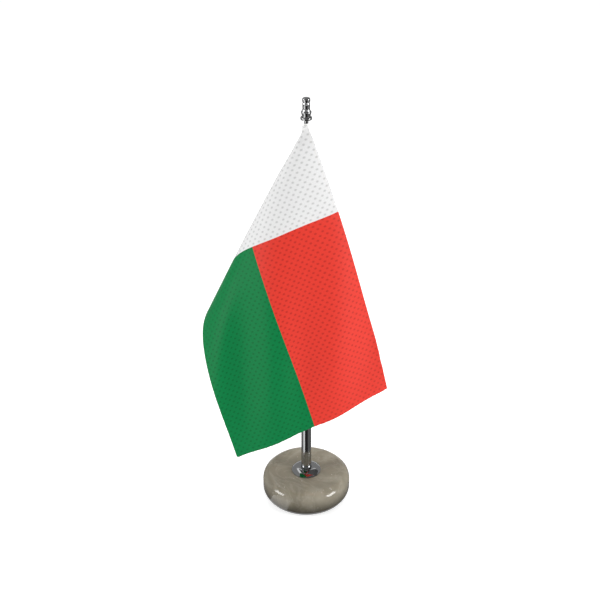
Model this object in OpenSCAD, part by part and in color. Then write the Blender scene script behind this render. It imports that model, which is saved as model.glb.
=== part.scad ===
// Desk flag stand: a turned stone foot, a chromed tube with a thin flag rod that slides in it,
// a screw-on finial, and a cloth flag that hangs from the rod by its hoist sleeve.
// Origin: centre of the foot pad's underside. +Z is up the pole and -Y is the front.

/* [Stone foot] */
// Diameter of the stone
stone_d = 69; // [67:1:90]
// Height of the stone's top face above the desk
foot_h = 22.5; // [22:0.5:34]
// Radius of the stone's upper edge
upper_edge_r = 7.5; // [4:0.5:9]
// Radius of the stone's lower edge
lower_edge_r = 8; // [3:0.5:8]
// Diameter of the pad glued under the stone
pad_d = 50; // [40:1:50]

/* [Pole] */
// Height of the finial's top above the desk
total_h = 330; // [325:5:360]
// Outside diameter of the tube
tube_d = 8; // [8:0.5:10]
// Wall of the tube
tube_wall = 0.8; // [0.6:0.1:1]
// Diameter of the flag rod
rod_d = 3; // [2.5:0.1:3.2]
// Diameter of the domed flange at the foot of the tube
flange_d = 23; // [20:1:26]

/* [Flag] */
// Length of the flag, from the hoist to the free end
flag_length = 210; // [195:1:220]
// Width of the flag, along the hoist
flag_width = 140; // [130:1:142]
// Depth of the upright ripples at the free end
ripple_depth = 3; // [0:0.5:5]

/* [Hidden] */
$fn = 96;
running = 0.05;                    // radial gap of a running fit
rest_gap = 0.3;                    // gap between stacked pieces that turn or slide apart

// foot
pad_t = 2;
pad_proud = 0.8;                   // how far the pad stands out of the stone
pad_gap = 0.2;
stone_r = stone_d / 2;
counterbore_r = 10;
counterbore_top = 8;
screw_r = 2.5;                     // M5
screw_hole_r = 2.8;
socket_floor = 15;                 // where the tube stands in the stone
socket_r = tube_d / 2 + 0.15;

// clamp parts under the stone, from the top down
washer_t = 1.2;
lock_t = 1.2;
head_h = 3.5;
head_across = 8;
lock_wire_r = 4.6;
head_bottom = counterbore_top - washer_t - lock_t - head_h;

// finial
finial_h = 15;
ring_h = 1.9;
ring_gap = 0.1;
finial_z = total_h - finial_h;     // underside of the finial's ring
thread_turns = 8;
thread_pitch = 0.5;                // M3
rod_top = finial_z + ring_h + ring_gap + thread_turns * thread_pitch;

// flag and what carries it
neck = 1;                          // from the hoist line's top end to the finial
corner_rise = 1.5;                 // how far the sleeve stops short of the hoist line's top end
flag_top = finial_z - neck;
sleeve_top = flag_top - corner_rise;
sleeve_bottom = flag_top - flag_width;
sleeve_wall = 0.65;
sleeve_r = rod_d / 2 + running + sleeve_wall;
cloth_t = 1;
seam_bite = 0.15;                  // how deep the sleeve's seam is sewn into the cloth
stop_t = 1;
stop_r = 3.6;
stop_bottom = sleeve_bottom - rest_gap - stop_t;

// pole
collar_top = stop_bottom - rest_gap;
collar_h = 8;
collar_r = tube_d / 2 + 1;
spigot_h = 10;
tube_top = collar_top - collar_h;
bore_r = tube_d / 2 - tube_wall;
plug_h = 14;
slider_h = 10;
slider_bottom = socket_floor + plug_h + 4;
o_ring_wire_r = 0.5;
flange_h = 3.2;

// ---- shared shapes ----

// points of an arc, counted from one angle to another
function arc(cx, cy, r, from, to, steps = 14) =
    [for (i = [0 : steps]) let (a = from + (to - from) * i / steps) [cx + r * cos(a), cy + r * sin(a)]];

module turned(points) {
    rotate_extrude() polygon(points);
}

module ring(r_out, r_in, h, z) {
    translate([0, 0, z]) difference() {
        cylinder(r = r_out, h = h);
        translate([0, 0, -1]) cylinder(r = r_in, h = h + 2);
    }
}

// ---- foot ----

module base_stone() {
    color("#9a9588") difference() {
        turned(concat(
            [[0, pad_proud]],
            arc(stone_r - lower_edge_r, pad_proud + lower_edge_r, lower_edge_r, -90, 0),
            arc(stone_r - upper_edge_r, foot_h - upper_edge_r, upper_edge_r, 0, 90),
            [[0, foot_h]]));
        translate([0, 0, -1]) cylinder(r = pad_d / 2 + pad_gap, h = pad_t + 1);
        cylinder(r = counterbore_r, h = counterbore_top);
        cylinder(r = screw_hole_r, h = foot_h);
        translate([0, 0, socket_floor]) cylinder(r = socket_r, h = foot_h);
    }
}

module foot_pad() {
    color("#3a3a38") cylinder(r = pad_d / 2, h = pad_t);
}

module clamp_screw() {
    color("#b9bbbd") {
        translate([0, 0, head_bottom])
            cylinder(d = head_across / cos(30), h = head_h, $fn = 6);
        translate([0, 0, head_bottom + head_h])
            cylinder(r = screw_r - running, h = socket_floor + plug_h - 2 - head_bottom - head_h);
    }
}

module lock_washer() {
    z = head_bottom + head_h;
    color("#b9bbbd") difference() {
        ring(lock_wire_r, screw_hole_r, lock_t, z);
        translate([0, 0, z + lock_t / 2]) rotate([0, 0, 20])
            translate([lock_wire_r - 1, 0, 0]) rotate([25, 0, 0]) cube([4, 0.8, 4], center = true);
    }
}

module clamp_washer() {
    color("#c4c6c8") ring(9, screw_hole_r, washer_t, counterbore_top - washer_t);
}

module foot_flange() {
    edge_h = 0.7;
    lip_r = tube_d / 2 + 1.1;
    rise = flange_h - edge_h;
    run = flange_d / 2 - lip_r;
    dome_r = (rise * rise + run * run) / (2 * rise);
    sweep = asin(run / dome_r);
    color("#d5d7d9") translate([0, 0, foot_h]) turned(concat(
        [[tube_d / 2 + running, 0], [flange_d / 2 - 0.2, 0], [flange_d / 2, 0.2]],
        arc(lip_r, flange_h - dome_r, dome_r, 90 - sweep, 90, 10),
        [[tube_d / 2 + running, flange_h]]));
}

// ---- pole ----

module lower_tube() {
    color("#d9dbdd") ring(tube_d / 2, bore_r, tube_top - socket_floor, socket_floor);
}

module tube_plug() {
    color("#c9a24b") ring(bore_r, screw_r, plug_h, socket_floor);
}

module tube_collar() {
    edge = 0.6;
    color("#d9dbdd") turned([
        [rod_d / 2 + running, tube_top - spigot_h], [bore_r, tube_top - spigot_h],
        [bore_r, tube_top], [collar_r, tube_top], [collar_r, collar_top - edge],
        [collar_r - edge, collar_top], [rod_d / 2 + running, collar_top]]);
}

module mast_rod() {
    color("#d3d5d7") translate([0, 0, slider_bottom]) cylinder(d = rod_d, h = rod_top - slider_bottom);
}

module rod_slider() {
    groove_h = 2 * o_ring_wire_r + 0.2;
    color("#c9a24b") difference() {
        ring(bore_r - running, rod_d / 2, slider_h, slider_bottom);
        ring(bore_r + 1, bore_r - running - 2 * o_ring_wire_r, groove_h,
             slider_bottom + slider_h / 2 - groove_h / 2);
    }
}

module slider_ring() {
    color("#222222") translate([0, 0, slider_bottom + slider_h / 2]) rotate_extrude()
        translate([bore_r - running - o_ring_wire_r, 0]) circle(r = o_ring_wire_r, $fn = 24);
}

module sleeve_stop() {
    color("#eeeeea") ring(stop_r, rod_d / 2, stop_t, stop_bottom);
}

// ---- flag ----

module hoist_sleeve() {
    color("#f2f2f0") ring(sleeve_r, rod_d / 2 + running, sleeve_top - sleeve_bottom, sleeve_bottom);
}

// The cloth hangs from its top hoist corner as a curled cone. Rays leave that corner, one for each angle
// on the flat cloth, from 0 at the top edge to 90 at the hoist, which runs straight down the pole. Each
// ray leans so many degrees to the right and so many to the back. The leans are walked from the hoist
// round to the top edge: a step on the flat cloth is a step of the same size on the cone, less some
// slack across the front, and the walk turns steadily, and tightly round the left fold.
ray_step = 3;
first_heading = 217;               // where the top edge's end of the walk heads: 180 is left, 270 is front
steady_turn = 1.5;                 // turn for each degree of flat cloth
fold_turn = 132;                   // further turn round the left fold
fold_from = 40;                    // angle on the flat cloth where the fold begins
fold_to = 81;                      // and where it ends
front_slack = 0.13;                // share of its width that the front lies short by, in soft waves
ripple_pitch = 44;                 // from crest to crest, across the flag
ripple_at = 21;                    // where one crest lies, to the right of the pole
ripple_start = 40;                 // how far below the corner the ripples begin
ripple_full = 180;                 // and where they are deepest
top_belly = 3;                     // how far the top edge bellies out to the right, halfway down
belly_angle = 18;                  // up to this angle from the top edge
ripple_fade = 0.65;                // share of their depth that the ripples lose towards the free end
fade_start = 0.78;                 // where that begins, as a share of the flag's length

function smooth(t) = let (x = max(0, min(1, t))) x * x * (3 - 2 * x);

function folded(angle) = smooth((angle - fold_from) / (fold_to - fold_from));
function heading(angle) = first_heading - steady_turn * angle - fold_turn * folded(angle);
function stride(angle) = ray_step * (1 - front_slack * (1 - folded(angle)));

// leans to the right and back, from the hoist round to the top edge
leans = [for (i = 0, at = [0, 0]; i <= 90 / ray_step;
              i = i + 1,
              mid = 90 - ray_step * (i - 0.5),
              at = at - stride(mid) * [cos(heading(mid)), sin(heading(mid))]) at];

function between(v, i) = v[max(0, min(len(v) - 1, i))];

// smooth curve through evenly spaced values
function through(v, t) =
    let (i = min(floor(t), len(v) - 2), f = t - i,
         a = between(v, i - 1), b = v[i], c = v[i + 1], d = between(v, i + 2))
    b + f * (c - a + f * (2 * a - 5 * b + 4 * c - d + f * (3 * (b - c) + d - a))) / 2;

function unit(v) = v / norm(v);

function ray(angle) = let (lean = through(leans, (90 - angle) / ray_step)) unit([tan(lean.x), tan(lean.y), -1]);

// outward side of the cone along a ray
function outward(angle) =
    let (d = 0.5, lo = max(0, angle - d), hi = min(90, angle + d))
    unit(-cross(ray(angle), (ray(hi) - ray(lo)) / (hi - lo)));

// middle of the cloth, for a point s along the fly and h down the hoist
function cloth(s, h) =
    let (r = max(0.01, norm([s, h])), angle = atan2(h, s),
         p = r * ray(angle) + (sleeve_r - seam_bite + cloth_t / 2) * outward(angle),
         front = 1 - smooth((angle - 42) / 16),
         depth = smooth((-p.z - ripple_start) / (ripple_full - ripple_start)),
         calm = 1 - ripple_fade * smooth((s / flag_length - fade_start) / (1 - fade_start)),
         wave = front * depth * calm * ripple_depth * cos(360 * (p.x - ripple_at) / ripple_pitch),
         part = r / flag_length,
         belly = top_belly * (1 - smooth(angle / belly_angle)) * 4 * part * max(0, 1 - part))
    [p.x + belly, p.y - wave, flag_top + p.z];

// outer and inner face of the cloth at a point of its flat shape
function face(s, h, side) =
    let (e = 1, u = cloth(min(flag_length, s + e), h) - cloth(max(0, s - e), h),
         v = cloth(s, min(flag_width, h + e)) - cloth(s, max(0, h - e)))
    cloth(s, h) + side * cloth_t / 2 * unit(cross(u, v));

module flag_field() {
    ns = 36;
    nh = 30;
    crowd = 1.8;                   // rows crowd towards the hanging corner, where the curl is tight
    first = 2.5;                    // cloth left out at the hoist, inside the seam
    cols = ns + 1;
    sheet = cols * (nh + 1);
    points = [for (side = [1, -1]) for (j = [0 : nh]) for (i = [0 : ns])
        face(first + (flag_length - first) * pow(i / ns, crowd), flag_width * pow(j / nh, crowd), side)];
    function at(k, i, j) = k * sheet + j * cols + i;
    outer = [for (j = [0 : nh - 1]) for (i = [0 : ns - 1])
        each [[at(0, i, j), at(0, i + 1, j), at(0, i + 1, j + 1)],
              [at(0, i, j), at(0, i + 1, j + 1), at(0, i, j + 1)]]];
    inner = [for (j = [0 : nh - 1]) for (i = [0 : ns - 1])
        each [[at(1, i, j), at(1, i + 1, j + 1), at(1, i + 1, j)],
              [at(1, i, j), at(1, i, j + 1), at(1, i + 1, j + 1)]]];
    long_edges = [for (i = [0 : ns - 1])
        each [[at(0, i, 0), at(1, i, 0), at(1, i + 1, 0)],
              [at(0, i, 0), at(1, i + 1, 0), at(0, i + 1, 0)],
              [at(0, i, nh), at(1, i + 1, nh), at(1, i, nh)],
              [at(0, i, nh), at(0, i + 1, nh), at(1, i + 1, nh)]]];
    end_edges = [for (j = [0 : nh - 1])
        each [[at(0, 0, j), at(1, 0, j + 1), at(1, 0, j)],
              [at(0, 0, j), at(0, 0, j + 1), at(1, 0, j + 1)],
              [at(0, ns, j), at(1, ns, j), at(1, ns, j + 1)],
              [at(0, ns, j), at(1, ns, j + 1), at(0, ns, j + 1)]]];
    color("#c8443a") polyhedron(points, concat(outer, inner, long_edges, end_edges), convexity = 6);
}

// ---- finial ----

module finial_ring() {
    edge = 0.55;
    ring_r = 4;
    color("#d5d7d9") translate([0, 0, finial_z]) turned(concat(
        [[rod_d / 2 + 0.1, 0]],
        arc(ring_r - edge, edge, edge, -90, 0, 6),
        arc(ring_r - edge, ring_h - edge, edge, 0, 90, 6),
        [[rod_d / 2 + 0.1, ring_h]]));
}

module finial_body() {
    z0 = ring_h + ring_gap;
    bore_top = z0 + thread_turns * thread_pitch + 0.4;
    color("#d5d7d9") translate([0, 0, finial_z]) turned(concat(
        [[rod_d / 2 + running, z0], [3.05, z0], [2.95, 2.6], [3.1, 3.3], [3.4, 4.3]],
        arc(2.6, 5.2, 1, -20, 70, 8),
        [[2.65, 7], [2.55, 7.8], [2.62, 9.5], [2.55, 11.3], [2.4, 11.7]],
        arc(2, 12.7, 0.75, -60, 0, 5),
        arc(1.85, finial_h - 1, 0.9, 0, 78, 8),
        [[0, finial_h], [0, bore_top], [rod_d / 2 + running, bore_top]]));
}

base_stone();
foot_pad();
clamp_screw();
clamp_washer();
lock_washer();
foot_flange();
lower_tube();
tube_plug();
tube_collar();
mast_rod();
rod_slider();
slider_ring();
sleeve_stop();
hoist_sleeve();
flag_field();
finial_ring();
finial_body();
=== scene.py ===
"""Desk flag stand: a polished stone foot, a chromed pole with a screwed finial, and a knitted cloth flag
that hangs from the pole by its hoist sleeve. The sections follow the stand as it is put together."""

import math

import bpy
from mathutils import Matrix, Vector


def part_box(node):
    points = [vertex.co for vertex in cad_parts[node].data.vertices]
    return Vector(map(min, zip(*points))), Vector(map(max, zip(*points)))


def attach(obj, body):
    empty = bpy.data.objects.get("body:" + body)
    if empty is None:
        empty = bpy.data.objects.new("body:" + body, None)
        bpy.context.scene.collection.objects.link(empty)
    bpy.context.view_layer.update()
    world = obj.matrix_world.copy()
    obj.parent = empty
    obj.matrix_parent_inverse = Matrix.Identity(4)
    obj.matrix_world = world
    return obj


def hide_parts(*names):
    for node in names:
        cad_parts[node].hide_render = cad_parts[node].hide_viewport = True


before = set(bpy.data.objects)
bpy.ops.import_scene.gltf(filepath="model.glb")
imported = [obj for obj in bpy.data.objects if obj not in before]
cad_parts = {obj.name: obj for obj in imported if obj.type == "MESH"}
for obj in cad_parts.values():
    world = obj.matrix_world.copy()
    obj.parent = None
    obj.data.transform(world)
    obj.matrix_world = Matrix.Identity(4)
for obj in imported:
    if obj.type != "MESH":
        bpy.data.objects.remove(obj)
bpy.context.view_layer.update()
bpy.ops.object.select_all(action="DESELECT")


# ---- Camera and studio ----
# The stand is seen from the front and from about thirty degrees above, on a white table in soft
# even light. Dull cards, three on the table and one above, show only in reflections and draw the
# stripes in the chrome.
bpy.ops.object.camera_add()
camera = bpy.context.object
camera.name = "studio_camera"
camera_place = (-0.0011, -0.6571, 0.5485)
swing, tilt, roll = math.radians(0.30), math.radians(60.58), math.radians(-0.20)
camera.matrix_world = (
    Matrix.Translation(camera_place)
    @ Matrix.Rotation(swing, 4, "Z")
    @ Matrix.Rotation(tilt, 4, "X")
    @ Matrix.Rotation(roll, 4, "Z")
)
camera.data.lens = 62.33
camera.data.sensor_width = 36
camera.data.clip_start = 0.01
bpy.context.scene.camera = camera


def linear(code):
    """Linear colour of an sRGB hex code."""
    parts = [int(code[i : i + 2], 16) / 255 for i in (1, 3, 5)]
    return [c / 12.92 if c <= 0.04045 else ((c + 0.055) / 1.055) ** 2.4 for c in parts] + [1]


def add(tree, kind, inputs={}, **settings):
    """Adds one node, gives it its settings, and links or fills its inputs."""
    made = tree.nodes.new(kind)
    for name, value in settings.items():
        if name == "stops":
            ramp = made.color_ramp
            while len(ramp.elements) < len(value):
                ramp.elements.new(0.5)
            for element, (place, code) in zip(ramp.elements, value):
                element.position = place
                element.color = linear(code)
        else:
            setattr(made, name, value)
    for name, value in inputs.items():
        if isinstance(value, bpy.types.NodeSocket):
            tree.links.new(value, made.inputs[name])
        else:
            made.inputs[name].default_value = value
    return made


bpy.ops.mesh.primitive_grid_add(x_subdivisions=4, y_subdivisions=4, size=12)
table = bpy.context.object
table.name = "studio_table"
# White laminate: matt, nearly all the light comes back.
laminate = bpy.data.materials.new("white_laminate")
laminate.use_nodes = True
shader = laminate.node_tree.nodes["Principled BSDF"]
shader.inputs["Base Color"].default_value = linear("#f7f7f7")
shader.inputs["Roughness"].default_value = 0.9
shader.inputs["Specular IOR Level"].default_value = 0.1
shader.inputs["Emission Color"].default_value = linear("#ffffff")
shader.inputs["Emission Strength"].default_value = 0.6
table.data.materials.append(laminate)

# A tall white screen closes the studio behind the table. Only the camera sees it, so it adds no light.
bpy.ops.mesh.primitive_cylinder_add(
    vertices=64, radius=5.8, depth=8, end_fill_type="NOTHING", location=(0, 0, 3.9),
)
bpy.ops.object.transform_apply()
screen = bpy.context.object
screen.name = "studio_screen"
backlit = bpy.data.materials.new("backlit_white_screen")
backlit.use_nodes = True
shader = backlit.node_tree.nodes["Principled BSDF"]
shader.inputs["Emission Color"].default_value = linear("#ffffff")
shader.inputs["Emission Strength"].default_value = 1.0
screen.data.materials.append(backlit)
screen.visible_diffuse = False
screen.visible_glossy = False
screen.visible_transmission = False
screen.visible_shadow = False

# Each card is a sector of the table round the stone: its shade, and its two edges in degrees to the
# right of the front.
for name, shade, first, last in [
    ("studio_card_front", "#1f1e1d", -30, 34),
    ("studio_card_right", "#7c7c7c", 34, 150),
    ("studio_card_left", "#8f8f8f", -150, -66),
]:
    bpy.ops.mesh.primitive_circle_add(vertices=26, radius=1, fill_type="NGON")
    card = bpy.context.object
    card.name = name
    for i, vertex in enumerate(card.data.vertices):
        reach, k = (0.036, i) if i < 13 else (2.5, 25 - i)
        turned = math.radians(first + (last - first) * k / 12)
        vertex.co = (reach * math.sin(turned), -reach * math.cos(turned), 0.0004)
    paper = bpy.data.materials.new(name.replace("studio_card", "card_paper"))
    paper.use_nodes = True
    shader = paper.node_tree.nodes["Principled BSDF"]
    shader.inputs["Base Color"].default_value = linear(shade)
    shader.inputs["Roughness"].default_value = 1.0
    card.data.materials.append(paper)
    card.visible_camera = False
    card.visible_diffuse = False
    card.visible_shadow = False

bpy.ops.mesh.primitive_plane_add(size=1.6, location=(0.5, 0.1, 1.0))
bpy.ops.object.transform_apply()
card = bpy.context.object
card.name = "studio_card_above"
paper = bpy.data.materials.new("card_paper_above")
paper.use_nodes = True
shader = paper.node_tree.nodes["Principled BSDF"]
shader.inputs["Base Color"].default_value = linear("#4a4a4a")
shader.inputs["Roughness"].default_value = 1.0
card.data.materials.append(paper)
card.visible_camera = False
card.visible_diffuse = False
card.visible_shadow = False

for name, place, size, power, aim in [
    ("softbox_left", (-1.1, -0.35, 0.5), 0.5, 7.0, (0, 0, 0.15)),
    ("softbox_right", (1.1, -0.5, 0.5), 0.5, 9.5, (0, 0, 0.15)),
    ("softbox_top", (0.0, 0.5, 1.4), 1.4, 6.0, (0, 0, 0)),
]:
    bpy.ops.object.light_add(type="AREA", location=place)
    lamp = bpy.context.object
    lamp.name = name
    lamp.data.size = size
    lamp.data.energy = power
    lamp.rotation_euler = (Vector(aim) - Vector(place)).to_track_quat("-Z", "Y").to_euler()

scene = bpy.context.scene
scene.view_settings.view_transform = "Standard"
scene.world = bpy.data.worlds.new("studio_world")
scene.world.use_nodes = True
sky = scene.world.node_tree.nodes["Background"]
sky.inputs["Color"].default_value = linear("#ffffff")
sky.inputs["Strength"].default_value = 0.36


# ---- Stone foot ----
# A disc of polished onyx marble, turned on a lathe, with a broad rounded upper edge. A counterbore
# below takes the clamp, and a blind socket in its top face takes the pole.
def turn(name, outline, segments=128):
    """Turns an outline of (radius, height) points, in millimetres, about the pole's axis."""
    on_axis = outline[0][0] == 0
    outline = outline[1:] if on_axis else outline
    radius, height = outline[0]
    bpy.ops.object.select_all(action="DESELECT")
    bpy.ops.mesh.primitive_circle_add(
        vertices=segments,
        radius=radius / 1000,
        location=(0, 0, height / 1000),
        fill_type="TRIFAN" if on_axis else "NOTHING",
    )
    piece = bpy.context.object
    piece.name = piece.data.name = name
    bpy.ops.object.transform_apply()
    bpy.ops.object.mode_set(mode="EDIT")
    bpy.ops.mesh.select_mode(type="EDGE")
    if on_axis:
        bpy.ops.mesh.region_to_loop()
    for next_radius, next_height in outline[1:]:
        bpy.ops.mesh.extrude_region_move(
            TRANSFORM_OT_translate={"value": (0, 0, (next_height - height) / 1000)}
        )
        bpy.ops.transform.resize(
            value=(next_radius / radius, next_radius / radius, 1),
            center_override=(0, 0, next_height / 1000),
        )
        radius, height = next_radius, next_height
    bpy.ops.mesh.select_all(action="SELECT")
    bpy.ops.mesh.remove_doubles(threshold=1e-6)
    bpy.ops.mesh.normals_make_consistent(inside=False)
    bpy.ops.object.mode_set(mode="OBJECT")
    bpy.ops.object.shade_smooth_by_angle(angle=math.radians(35))
    return piece


def rounded(centre_r, centre_z, radius, start, end, steps=12):
    """Points of an arc of an outline, from one angle to another."""
    angles = [math.radians(start + (end - start) * i / steps) for i in range(steps + 1)]
    return [(centre_r + radius * math.cos(a), centre_z + radius * math.sin(a)) for a in angles]


low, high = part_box("base_stone")
stone_r, stone_low, stone_top = high.x * 1000, low.z * 1000, high.z * 1000
upper_edge = 7.5
lower_edge = 8.0
base = turn(
    "stone_foot",
    [(4.15, stone_top - 0.3), (4.45, stone_top)]
    + rounded(stone_r - upper_edge, stone_top - upper_edge, upper_edge, 90, 0, 16)
    + rounded(stone_r - lower_edge, stone_low + lower_edge, lower_edge, 0, -90, 16)
    + [(25.2, stone_low), (25.2, 2), (10, 2), (10, 8), (2.8, 8), (2.8, 15), (4.15, 15)]
    + [(4.15, stone_top - 0.3)],
    192,
)
# Onyx marble, polished: grey-beige clouds some 20 mm across, thin pale veins, a few pale crystals of
# about a millimetre, and a wet gloss.
onyx = bpy.data.materials.new("polished_onyx_marble")
onyx.use_nodes = True
tree = onyx.node_tree
shader = tree.nodes["Principled BSDF"]
place = add(tree, "ShaderNodeTexCoord").outputs["Object"]
clouds = add(
    tree, "ShaderNodeTexNoise",
    {"Vector": place, "Scale": 34.0, "Detail": 4.0, "Roughness": 0.5, "Distortion": 0.6},
)
body_tone = add(
    tree, "ShaderNodeValToRGB", {"Fac": clouds.outputs["Fac"]},
    stops=[(0.30, "#837c6d"), (0.48, "#908978"), (0.60, "#9d9685"), (0.74, "#aca594")],
)
bands = add(
    tree, "ShaderNodeTexNoise",
    {"Vector": place, "Scale": 30.0, "Detail": 8.0, "Roughness": 0.62, "Distortion": 2.2},
)
vein_line = add(
    tree, "ShaderNodeValToRGB", {"Fac": bands.outputs["Fac"]},
    stops=[(0.46, "#000000"), (0.50, "#ffffff"), (0.515, "#ffffff"), (0.55, "#000000")],
)
veined = add(
    tree, "ShaderNodeMix", {"Factor": vein_line.outputs["Color"], "A": 0.0, "B": 0.10}, data_type="FLOAT",
)
with_veins = add(
    tree, "ShaderNodeMix",
    {"Factor": veined.outputs["Result"], 6: body_tone.outputs["Color"], 7: linear("#d6d2c6")},
    data_type="RGBA",
)
grains = add(tree, "ShaderNodeTexVoronoi", {"Vector": place, "Scale": 420.0})
crystal = add(
    tree, "ShaderNodeValToRGB", {"Fac": grains.outputs["Distance"]},
    stops=[(0.12, "#ffffff"), (0.20, "#000000")],
)
where_crystals = add(tree, "ShaderNodeTexNoise", {"Vector": place, "Scale": 85.0, "Detail": 2.0})
crystal_patch = add(
    tree, "ShaderNodeMapRange",
    {"Value": where_crystals.outputs["Fac"], "From Min": 0.56, "From Max": 0.66, "To Min": 0.0, "To Max": 0.6},
)
crystal_amount = add(
    tree, "ShaderNodeMath",
    {0: crystal.outputs["Color"], 1: crystal_patch.outputs["Result"]},
    operation="MULTIPLY",
)
stone_colour = add(
    tree, "ShaderNodeMix",
    {"Factor": crystal_amount.outputs["Value"], 6: with_veins.outputs[2], 7: linear("#e6e3da")},
    data_type="RGBA",
)
# Painted shade: the stone's colour is scaled from full at 22 mm up down to black at 4 mm and below, darkening
# it towards its foot for the shade near the table.
height = add(tree, "ShaderNodeSeparateXYZ", {"Vector": place})
painted_foot_shade = add(
    tree, "ShaderNodeMapRange",
    {"Value": height.outputs["Z"], "From Min": 0.004, "From Max": 0.022, "To Min": 0.0, "To Max": 1.0},
)
stone_with_painted_shade = add(
    tree, "ShaderNodeVectorMath",
    {0: stone_colour.outputs[2], "Scale": painted_foot_shade.outputs["Result"]},
    operation="SCALE",
)
tree.links.new(stone_with_painted_shade.outputs["Vector"], shader.inputs["Base Color"])
polish = add(
    tree, "ShaderNodeMapRange",
    {"Value": clouds.outputs["Fac"], "From Min": 0.3, "From Max": 0.7, "To Min": 0.10, "To Max": 0.18},
)
tree.links.new(polish.outputs["Result"], shader.inputs["Roughness"])
shader.inputs["IOR"].default_value = 1.55
shader.inputs["Subsurface Weight"].default_value = 0.12
shader.inputs["Subsurface Radius"].default_value = (0.003, 0.0026, 0.002)
shader.inputs["Subsurface Scale"].default_value = 1.0
base.data.materials.append(onyx)
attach(base, "stand")
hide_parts("base_stone")

low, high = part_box("foot_pad")
pad_r, pad_top = high.x * 1000, high.z * 1000
pad = turn(
    "felt_pad",
    [(0, 0), (pad_r - 0.5, 0), (pad_r - 0.15, 0.15), (pad_r, 0.5)]
    + [(pad_r, pad_top), (pad_r - 6, pad_top), (0, pad_top)],
)
# Pressed wool felt: dark, matt and matted, with short fibres that lie every way.
felt = bpy.data.materials.new("pressed_wool_felt")
felt.use_nodes = True
tree = felt.node_tree
shader = tree.nodes["Principled BSDF"]
place = add(tree, "ShaderNodeTexCoord").outputs["Object"]
fibres = add(tree, "ShaderNodeTexNoise", {"Vector": place, "Scale": 1400.0, "Detail": 4.0, "Distortion": 1.5})
felt_tone = add(
    tree, "ShaderNodeValToRGB", {"Fac": fibres.outputs["Fac"]}, stops=[(0.35, "#23231f"), (0.7, "#3d3d38")],
)
nap = add(tree, "ShaderNodeBump", {"Height": fibres.outputs["Fac"], "Strength": 0.6, "Distance": 0.0003})
tree.links.new(felt_tone.outputs["Color"], shader.inputs["Base Color"])
tree.links.new(nap.outputs["Normal"], shader.inputs["Normal"])
shader.inputs["Roughness"].default_value = 0.95
shader.inputs["Sheen Weight"].default_value = 0.3
pad.data.materials.append(felt)
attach(pad, "stand")
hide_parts("foot_pad")


# ---- Clamp under the stone ----
# A hexagon screw with a flat washer and a split spring washer goes up through the stone and pulls the
# tube down onto its socket. Zinc-plated steel, sunk in the counterbore above the pad.
zinc = bpy.data.materials.new("zinc_plated_steel")
zinc.use_nodes = True
tree = zinc.node_tree
shader = tree.nodes["Principled BSDF"]
place = add(tree, "ShaderNodeTexCoord").outputs["Object"]
# Bright zinc over steel: a bluish grey with faint blotches, duller than chrome.
blotches = add(tree, "ShaderNodeTexNoise", {"Vector": place, "Scale": 380.0, "Detail": 3.0})
zinc_tone = add(
    tree, "ShaderNodeValToRGB", {"Fac": blotches.outputs["Fac"]}, stops=[(0.3, "#a3a8ad"), (0.7, "#bcc0c4")],
)
zinc_dull = add(
    tree, "ShaderNodeMapRange", {"Value": blotches.outputs["Fac"], "To Min": 0.28, "To Max": 0.42},
)
tree.links.new(zinc_tone.outputs["Color"], shader.inputs["Base Color"])
tree.links.new(zinc_dull.outputs["Result"], shader.inputs["Roughness"])
shader.inputs["Metallic"].default_value = 1.0
for name in ("clamp_screw", "clamp_washer", "lock_washer"):
    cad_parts[name].data.materials.clear()
    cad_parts[name].data.materials.append(zinc)


# ---- Flange and pole tube ----
# The flange is a shallow dome pressed from brass sheet, and the tube is drawn brass, both chromed. The
# flange covers the edge of the socket, and the tube's own clamp holds it down.
chrome = bpy.data.materials.new("polished_chrome_plate")
chrome.use_nodes = True
tree = chrome.node_tree
shader = tree.nodes["Principled BSDF"]
place = add(tree, "ShaderNodeTexCoord").outputs["Object"]
# Chrome on polished brass: a mirror with a cool grey cast, faint handling haze, and hairline polishing
# marks, drawn some 0.4 mm apart so that they show.
haze = add(tree, "ShaderNodeTexNoise", {"Vector": place, "Scale": 130.0, "Detail": 4.0})
along = add(tree, "ShaderNodeMapping", {"Vector": place, "Scale": (1.0, 1.0, 0.06)})
hairlines = add(
    tree, "ShaderNodeTexNoise",
    {"Vector": along.outputs["Vector"], "Scale": 2500.0, "Detail": 2.0},
)
chrome_dull = add(
    tree, "ShaderNodeMapRange",
    {"Value": haze.outputs["Fac"], "From Min": 0.3, "From Max": 0.7, "To Min": 0.05, "To Max": 0.13},
)
chrome_marks = add(
    tree, "ShaderNodeBump",
    {"Height": hairlines.outputs["Fac"], "Strength": 0.12, "Distance": 0.00002},
)
tree.links.new(chrome_dull.outputs["Result"], shader.inputs["Roughness"])
tree.links.new(chrome_marks.outputs["Normal"], shader.inputs["Normal"])
shader.inputs["Base Color"].default_value = linear("#acadae")
shader.inputs["Metallic"].default_value = 1.0

low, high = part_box("foot_flange")
flange_r, flange_low, flange_top = high.x * 1000, low.z * 1000, high.z * 1000
flange_edge = 0.7
flange_lip = 5.1
flange_rise = flange_top - flange_low - flange_edge
flange_run = flange_r - flange_lip
dome_r = (flange_rise**2 + flange_run**2) / (2 * flange_rise)
dome_sweep = math.degrees(math.asin(flange_run / dome_r))
flange = turn(
    "pole_flange",
    [(4.05, flange_low), (flange_r - 0.2, flange_low), (flange_r, flange_low + 0.2)]
    + rounded(flange_lip, flange_top - dome_r, dome_r, 90 - dome_sweep, 90, 14)
    + [(4.3, flange_top), (4.05, flange_top - 0.2), (4.05, flange_low)],
)
flange.data.materials.append(chrome)
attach(flange, "stand")
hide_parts("foot_flange")

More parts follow.
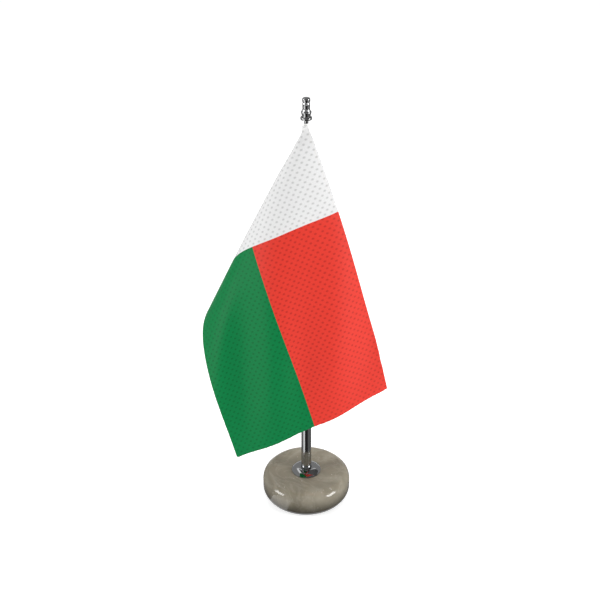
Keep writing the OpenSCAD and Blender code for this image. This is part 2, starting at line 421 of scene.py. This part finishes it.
low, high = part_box("lower_tube")
tube_r, tube_low, tube_top = high.x * 1000, low.z * 1000, high.z * 1000
tube_bore = 3.2
tube = turn(
    "pole_tube",
    [(tube_bore, tube_low), (tube_r - 0.2, tube_low), (tube_r, tube_low + 0.2), (tube_r, 60), (tube_r, 105)]
    + [(tube_r, tube_top - 0.2), (tube_r - 0.2, tube_top), (tube_bore, tube_top), (tube_bore, tube_low)],
    96,
)
tube.data.materials.append(chrome)
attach(tube, "stand")
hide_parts("lower_tube")


# ---- Brass plug and collar ----
# The plug is soldered in the tube's foot and takes the clamp screw. The collar is pressed into the
# tube's mouth and guides the rod.
brass = bpy.data.materials.new("turned_brass")
brass.use_nodes = True
tree = brass.node_tree
shader = tree.nodes["Principled BSDF"]
place = add(tree, "ShaderNodeTexCoord").outputs["Object"]
# Free-cutting brass, turned and left bare: warm yellow, with lathe rings drawn 0.3 mm apart.
rings = add(
    tree, "ShaderNodeTexWave", {"Vector": place, "Scale": 520.0, "Distortion": 0.4}, bands_direction="Z",
)
ring_marks = add(
    tree, "ShaderNodeBump",
    {"Height": rings.outputs["Fac"], "Strength": 0.25, "Distance": 0.00003},
)
brass_tone = add(
    tree, "ShaderNodeValToRGB", {"Fac": rings.outputs["Fac"]}, stops=[(0.2, "#b8903f"), (0.8, "#d2ab58")],
)
tree.links.new(brass_tone.outputs["Color"], shader.inputs["Base Color"])
tree.links.new(ring_marks.outputs["Normal"], shader.inputs["Normal"])
shader.inputs["Metallic"].default_value = 1.0
shader.inputs["Roughness"].default_value = 0.25
for name in ("tube_plug", "rod_slider"):
    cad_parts[name].data.materials.clear()
    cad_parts[name].data.materials.append(brass)

low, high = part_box("tube_collar")
collar_r, spigot_low, collar_top = high.x * 1000, low.z * 1000, high.z * 1000
rod_hole = 1.55
collar = turn(
    "tube_mouth_collar",
    [(rod_hole, spigot_low), (tube_bore, spigot_low), (tube_bore, tube_top), (collar_r - 0.2, tube_top)]
    + [(collar_r, tube_top + 0.2), (collar_r, tube_top + 2.6), (collar_r - 0.35, tube_top + 2.9)]
    + [(collar_r - 0.35, tube_top + 3.5), (collar_r, tube_top + 3.8)]
    + rounded(collar_r - 0.6, collar_top - 0.6, 0.6, 0, 90, 6)
    + [(rod_hole + 0.2, collar_top), (rod_hole, collar_top - 0.2), (rod_hole, spigot_low)],
    96,
)
collar.data.materials.append(chrome)
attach(collar, "stand")
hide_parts("tube_collar")


# ---- Flag rod and its slider ----
# A chromed steel rod carries the flag. Its foot is pressed into a brass slider whose rubber ring rubs
# in the tube, so that the rod stays where it is pulled to.
low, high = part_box("mast_rod")
rod_r, rod_low, rod_top = high.x * 1000, low.z * 1000, high.z * 1000
rod = turn(
    "flag_rod",
    [(0, rod_low), (rod_r - 0.2, rod_low), (rod_r, rod_low + 0.2), (rod_r, 165), (rod_r, rod_top - 4.4)]
    + [(rod_r - 0.2, rod_top - 4.2), (rod_r - 0.2, rod_top - 0.4), (rod_r - 0.6, rod_top), (0, rod_top)],
    64,
)
rod.data.materials.append(chrome)
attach(rod, "mast")
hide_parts("mast_rod")

rubber = bpy.data.materials.new("black_nitrile_rubber")
rubber.use_nodes = True
tree = rubber.node_tree
shader = tree.nodes["Principled BSDF"]
place = add(tree, "ShaderNodeTexCoord").outputs["Object"]
# Nitrile rubber with grease on it: near black, with a broad dull shine.
grease = add(tree, "ShaderNodeTexNoise", {"Vector": place, "Scale": 700.0, "Detail": 2.0})
grease_shine = add(
    tree, "ShaderNodeMapRange", {"Value": grease.outputs["Fac"], "To Min": 0.35, "To Max": 0.6},
)
tree.links.new(grease_shine.outputs["Result"], shader.inputs["Roughness"])
shader.inputs["Base Color"].default_value = linear("#191918")
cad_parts["slider_ring"].data.materials.clear()
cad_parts["slider_ring"].data.materials.append(rubber)

low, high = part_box("sleeve_stop")
stop_r, stop_low, stop_top = high.x * 1000, low.z * 1000, high.z * 1000
stop = turn(
    "sleeve_stop_ring",
    [(rod_r, stop_low), (stop_r - 0.3, stop_low)]
    + rounded(stop_r - 0.3, stop_low + 0.3, 0.3, -90, 0, 4)
    + rounded(stop_r - 0.3, stop_top - 0.3, 0.3, 0, 90, 4)
    + [(rod_r, stop_top), (rod_r, stop_low)],
    64,
)
# Moulded nylon, natural white: slightly waxy, with a fine orange-peel skin.
nylon = bpy.data.materials.new("moulded_white_nylon")
nylon.use_nodes = True
tree = nylon.node_tree
shader = tree.nodes["Principled BSDF"]
place = add(tree, "ShaderNodeTexCoord").outputs["Object"]
peel = add(tree, "ShaderNodeTexNoise", {"Vector": place, "Scale": 1800.0, "Detail": 1.0})
peel_bump = add(
    tree, "ShaderNodeBump",
    {"Height": peel.outputs["Fac"], "Strength": 0.15, "Distance": 0.00005},
)
tree.links.new(peel_bump.outputs["Normal"], shader.inputs["Normal"])
shader.inputs["Base Color"].default_value = linear("#ebe9e2")
shader.inputs["Roughness"].default_value = 0.42
shader.inputs["Subsurface Weight"].default_value = 0.1
shader.inputs["Subsurface Scale"].default_value = 0.001
stop.data.materials.append(nylon)
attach(stop, "mast")
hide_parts("sleeve_stop")


# ---- Flag ----
# One piece of warp-knitted polyester, cut to 210 by 140 mm and dyed in three fields: white beside the
# pole, then red over green. It is hot cut, so its edges have no hem.
flag_length = 0.210
flag_width = 0.140
seam_share = 0.0045
white_length = flag_length / 3 - seam_share
hoist_line = 0.0025
low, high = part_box("finial_ring")
flag_top = low.z - 0.001
# The leans of the hanging cloth, in degrees to the right and to the back, walked from the hoist round to
# the top edge. The walk turns steadily, and tightly round the left fold.
ray_step = 3
first_heading = 217
steady_turn = 1.5
fold_turn = 132
fold_from = 40
fold_to = 81
front_slack = 0.13


def ease(x):
    """Goes from 0 to 1 without a kink at either end."""
    x = max(0.0, min(1.0, x))
    return x * x * (3 - 2 * x)


leans = [Vector((0.0, 0.0))]
for i in range(90 // ray_step):
    angle = 90 - ray_step * (i + 0.5)
    folded = ease((angle - fold_from) / (fold_to - fold_from))
    heading = math.radians(first_heading - steady_turn * angle - fold_turn * folded)
    stride = ray_step * (1 - front_slack * (1 - folded))
    leans.append(leans[-1] - stride * Vector((math.cos(heading), math.sin(heading))))


def through(leans, place):
    """A smooth curve through the walked leans, at a place counted in steps."""
    last = len(leans) - 1
    i = int(min(math.floor(place), last - 1))
    a, b, c, d = (leans[max(0, min(last, k))] for k in (i - 1, i, i + 1, i + 2))
    f = place - i
    return b + f * (c - a + f * (2 * a - 5 * b + 4 * c - d + f * (3 * (b - c) + d - a))) / 2


def ray(angle):
    """Direction in which the cloth hangs from its top corner, for an angle on the flat cloth."""
    lean = through(leans, (90 - angle) / ray_step)
    return Vector((math.tan(math.radians(lean.x)), math.tan(math.radians(lean.y)), -1)).normalized()


ripple_depth = 0.003
ripple_pitch = 0.044
ripple_at = 0.021
ripple_start = 0.040
ripple_full = 0.180
ripple_fade = 0.65
fade_start = 0.78
top_belly = 0.003
belly_angle = 18
seam_offset = 0.0026


def hanging(along, down):
    """Where a point of the flat cloth hangs, as a curled cone from the top corner."""
    reach = math.hypot(along, down)
    angle = math.degrees(math.atan2(down, along))
    before, after = max(0.0, angle - 0.5), min(90.0, angle + 0.5)
    outward = -ray(angle).cross((ray(after) - ray(before)) / (after - before)).normalized()
    p = reach * ray(angle) + seam_offset * outward
    front = 1 - ease((angle - 42) / 16)
    depth = front * ease((-p.z - ripple_start) / (ripple_full - ripple_start))
    calm = 1 - ripple_fade * ease((along / flag_length - fade_start) / (1 - fade_start))
    wave = ripple_depth * calm * depth * math.cos(2 * math.pi * (p.x - ripple_at) / ripple_pitch)
    part = reach / flag_length
    belly = top_belly * (1 - ease(angle / belly_angle)) * 4 * part * max(0, 1 - part)
    return Vector((p.x + belly, p.y - wave, flag_top + p.z))


bpy.ops.object.select_all(action="DESELECT")
bpy.ops.mesh.primitive_grid_add(x_subdivisions=100, y_subdivisions=66, size=1, calc_uvs=True)
flag = bpy.context.object
flag.name = flag.data.name = "flag_cloth"
flat = [
    (hoist_line + (v.co.x + 0.5) * (flag_length - hoist_line), (0.5 - v.co.y) * flag_width)
    for v in flag.data.vertices
]
hung = [hanging(along, down) for along, down in flat]
for vertex, (along, down) in zip(flag.data.vertices, flat):
    vertex.co = (along, 0, flag_top - down)

# The cut cloth starts flat beside the pole and is drawn into its hang, so its threads keep their
# length: the hoist is held in the sleeve's seam, and the rest is only guided.
flag.shape_key_add(name="cut")
hang_key = flag.shape_key_add(name="hung")
for point, place in zip(hang_key.data, hung):
    point.co = place
hang_key.value = 0
hang_key.keyframe_insert("value", frame=1)
hang_key.value = 1
hang_key.keyframe_insert("value", frame=20)
held = flag.vertex_groups.new(name="held")
for i, (along, down) in enumerate(flat):
    to_edge = min(down, flag_length - along, flag_width - down)
    guide = 0.82 + 0.16 * ease(1 - to_edge / 0.012)
    held.add([i], 1.0 if along < hoist_line + 0.0001 else guide, "REPLACE")
cloth = flag.modifiers.new("Cloth", "CLOTH")
knit = cloth.settings
knit.quality = 8
knit.mass = 0.02
knit.tension_stiffness = 30
knit.compression_stiffness = 5
knit.shear_stiffness = 5
knit.bending_stiffness = 5.0
knit.air_damping = 3
knit.vertex_group_mass = "held"
knit.effector_weights.gravity = 0.3
cloth.collision_settings.use_collision = False
cloth.point_cache.frame_end = 51
for step in range(1, 51):
    scene.frame_set(step)
settled = flag.evaluated_get(bpy.context.evaluated_depsgraph_get()).to_mesh()
hung = [v.co.copy() for v in settled.vertices]
flag.modifiers.remove(cloth)
flag.shape_key_clear()
flag.vertex_groups.clear()
scene.frame_set(1)
for vertex, place in zip(flag.data.vertices, hung):
    vertex.co = place
# The knit irons out the finest creases, except along the cut edges.
bpy.ops.object.mode_set(mode="EDIT")
bpy.ops.mesh.select_mode(type="VERT")
bpy.ops.mesh.select_all(action="DESELECT")
bpy.ops.object.mode_set(mode="OBJECT")
for vertex, (along, down) in zip(flag.data.vertices, flat):
    to_edge = min(down, flag_length - along, flag_width - down, along - hoist_line)
    vertex.select = to_edge > 0.0001 and math.hypot(along, down) > 0.02
bpy.ops.object.mode_set(mode="EDIT")
bpy.ops.mesh.vertices_smooth(factor=0.5, repeat=4)
bpy.ops.object.mode_set(mode="OBJECT")

# Polyester warp knit: soft and slightly shiny along its folds. Its rows of small eyelets, 2.6 mm
# apart and 5.3 mm from eyelet to eyelet, show as staggered darker dots on every colour.
polyester = bpy.data.materials.new("dyed_polyester_knit")
polyester.use_nodes = True
tree = polyester.node_tree
shader = tree.nodes["Principled BSDF"]
cut = add(tree, "ShaderNodeUVMap", uv_map=flag.data.uv_layers[0].name)
in_mm = add(
    tree, "ShaderNodeMapping",
    {"Vector": cut.outputs["UV"], "Location": (2.5, 0, 0), "Scale": (207.5, 140.0, 1.0)},
)
axes = add(tree, "ShaderNodeSeparateXYZ", {"Vector": in_mm.outputs["Vector"]})
along_fly, up_hoist = axes.outputs["X"], axes.outputs["Y"]
past_white = add(tree, "ShaderNodeMath", {0: along_fly, 1: white_length * 1000}, operation="GREATER_THAN")
upper_half = add(tree, "ShaderNodeMath", {0: up_hoist, 1: 70.0}, operation="GREATER_THAN")
fly_colour = add(
    tree, "ShaderNodeMix",
    {"Factor": upper_half.outputs["Value"], 6: linear("#007a40"), 7: linear("#dd3a2e")}, data_type="RGBA",
)
field_colour = add(
    tree, "ShaderNodeMix",
    {"Factor": past_white.outputs["Value"], 6: linear("#e2e2e2"), 7: fly_colour.outputs[2]}, data_type="RGBA",
)
row = add(tree, "ShaderNodeMath", {0: along_fly, 1: 2.6}, operation="DIVIDE")
row_number = add(tree, "ShaderNodeMath", {0: row.outputs["Value"]}, operation="FLOOR")
stagger = add(tree, "ShaderNodeMath", {0: row_number.outputs["Value"], 1: 0.5}, operation="MULTIPLY")
row_place = add(tree, "ShaderNodeMath", {0: up_hoist, 1: 5.3}, operation="DIVIDE")
eyelet_place = add(
    tree, "ShaderNodeMath", {0: row_place.outputs["Value"], 1: stagger.outputs["Value"]}, operation="ADD",
)
across_row = add(tree, "ShaderNodeMath", {0: row.outputs["Value"]}, operation="FRACT")
along_row = add(tree, "ShaderNodeMath", {0: eyelet_place.outputs["Value"]}, operation="FRACT")
eyelet = add(
    tree, "ShaderNodeCombineXYZ",
    {"X": across_row.outputs["Value"], "Y": along_row.outputs["Value"], "Z": 0.0},
)
eyelet_offset = add(
    tree, "ShaderNodeVectorMath", {0: eyelet.outputs["Vector"], 1: (0.5, 0.5, 0.0)}, operation="SUBTRACT",
)
eyelet_mm = add(
    tree, "ShaderNodeVectorMath",
    {0: eyelet_offset.outputs["Vector"], 1: (2.6, 3.6, 0.0)},
    operation="MULTIPLY",
)
eyelet_reach = add(tree, "ShaderNodeVectorMath", {0: eyelet_mm.outputs["Vector"]}, operation="LENGTH")
eyelet_dark = add(
    tree, "ShaderNodeMapRange",
    {"Value": eyelet_reach.outputs["Value"], "From Min": 0.1, "From Max": 1.1, "To Min": 0.3, "To Max": 0.0},
    interpolation_type="SMOOTHSTEP",
)
fuzz = add(tree, "ShaderNodeTexNoise", {"Vector": in_mm.outputs["Vector"], "Scale": 1.6, "Detail": 3.0})
fuzz_dark = add(
    tree, "ShaderNodeMapRange",
    {"Value": fuzz.outputs["Fac"], "From Min": 0.3, "From Max": 0.7, "To Min": 0.0, "To Max": 0.1},
)
darkness = add(
    tree, "ShaderNodeMath",
    {0: eyelet_dark.outputs["Result"], 1: fuzz_dark.outputs["Result"]},
    operation="ADD",
)
lightness = add(tree, "ShaderNodeMath", {0: 1.0, 1: darkness.outputs["Value"]}, operation="SUBTRACT")
knit_colour = add(
    tree, "ShaderNodeVectorMath",
    {0: field_colour.outputs[2], "Scale": lightness.outputs["Value"]},
    operation="SCALE",
)
loops = add(
    tree, "ShaderNodeTexWave",
    {"Vector": in_mm.outputs["Vector"], "Scale": 0.38},
    bands_direction="X",
)
knit_height = add(
    tree, "ShaderNodeMath", {0: loops.outputs["Fac"], 1: darkness.outputs["Value"]}, operation="SUBTRACT",
)
knit_bump = add(
    tree, "ShaderNodeBump",
    {"Height": knit_height.outputs["Value"], "Strength": 0.25, "Distance": 0.0002},
)
tree.links.new(knit_colour.outputs["Vector"], shader.inputs["Base Color"])
tree.links.new(knit_bump.outputs["Normal"], shader.inputs["Normal"])
shader.inputs["Roughness"].default_value = 0.45
shader.inputs["Specular IOR Level"].default_value = 0.12
flag.data.materials.append(polyester)
bpy.context.view_layer.objects.active = flag
flag.select_set(True)
for name, kind in [("Thickness", "SOLIDIFY"), ("Smooth", "SUBSURF")]:
    modifier = flag.modifiers.new(name, kind)
    if kind == "SOLIDIFY":
        modifier.thickness = 0.0004
        modifier.offset = 0
    else:
        modifier.levels = modifier.render_levels = 1
    bpy.ops.object.modifier_apply(modifier=name)
bpy.ops.object.shade_smooth()
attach(flag, "flag")
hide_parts("flag_field")

# The hoist edge is turned round the rod and stitched down, which makes a tight sleeve.
low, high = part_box("hoist_sleeve")
sleeve_r, sleeve_low, sleeve_top = high.x * 1000, low.z * 1000, high.z * 1000
sleeve_bore = 1.55
gathers = 60
outer = []
for i in range(gathers + 1):
    height = sleeve_low + (sleeve_top - sleeve_low) * i / gathers
    pucker = 0.08 * math.sin(i * 1.9) * math.sin(i * 0.37)
    taper = 0.45 * ease((height - sleeve_top + 7) / 7)
    outer.append((sleeve_r - 0.08 + pucker - taper, height))
sleeve = turn(
    "hoist_sleeve_cloth",
    [(sleeve_bore, sleeve_low)] + outer + [(sleeve_bore, sleeve_top), (sleeve_bore, sleeve_low)],
    48,
)
# White polyester tape of the same knit: matt, with fine ribs round it.
tape = bpy.data.materials.new("white_polyester_tape")
tape.use_nodes = True
tree = tape.node_tree
shader = tree.nodes["Principled BSDF"]
place = add(tree, "ShaderNodeTexCoord").outputs["Object"]
ribs = add(
    tree, "ShaderNodeTexWave",
    {"Vector": place, "Scale": 420.0, "Distortion": 0.6},
    bands_direction="Z",
)
tape_tone = add(
    tree, "ShaderNodeValToRGB", {"Fac": ribs.outputs["Fac"]}, stops=[(0.2, "#e2e2e0"), (0.8, "#f4f4f2")],
)
tape_bump = add(tree, "ShaderNodeBump", {"Height": ribs.outputs["Fac"], "Strength": 0.3, "Distance": 0.00008})
tree.links.new(tape_tone.outputs["Color"], shader.inputs["Base Color"])
tree.links.new(tape_bump.outputs["Normal"], shader.inputs["Normal"])
shader.inputs["Roughness"].default_value = 0.8
shader.inputs["Sheen Weight"].default_value = 0.2
sleeve.data.materials.append(tape)
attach(sleeve, "flag")
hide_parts("hoist_sleeve")


# ---- Finial ----
# A turned brass ball finial, chromed, that screws onto the rod's threaded tip over a loose ring, and
# keeps the sleeve on the rod.
low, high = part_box("finial_ring")
ring_r, ring_low, ring_top = high.x * 1000, low.z * 1000, high.z * 1000
ring_edge = 0.55
ring = turn(
    "finial_base_ring",
    [(1.6, ring_low), (ring_r - ring_edge, ring_low)]
    + rounded(ring_r - ring_edge, ring_low + ring_edge, ring_edge, -90, 0, 6)
    + rounded(ring_r - ring_edge, ring_top - ring_edge, ring_edge, 0, 90, 6)
    + [(1.6, ring_top), (1.6, ring_low)],
    96,
)
ring.data.materials.append(chrome)
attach(ring, "captive_ring")
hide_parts("finial_ring")

low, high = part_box("finial_body")
foot, tip = low.z * 1000, high.z * 1000
knob = turn(
    "finial_knob",
    [(0, foot + 4.4), (1.55, foot + 4.4), (1.55, foot), (3.05, foot), (2.95, foot + 0.6), (3.1, foot + 1.3)]
    + [(3.4, foot + 2.3)]
    + rounded(2.6, foot + 3.2, 1, -20, 70, 8)
    + [(2.65, foot + 5), (2.55, foot + 5.8), (2.62, foot + 7.5), (2.55, foot + 9.3), (2.4, foot + 9.7)]
    + rounded(2, foot + 10.7, 0.75, -60, 0, 5)
    + rounded(1.85, tip - 1, 0.9, 0, 78, 8)
    + [(0, tip)],
    96,
)
knob.data.materials.append(chrome)
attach(knob, "finial")
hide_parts("finial_body")
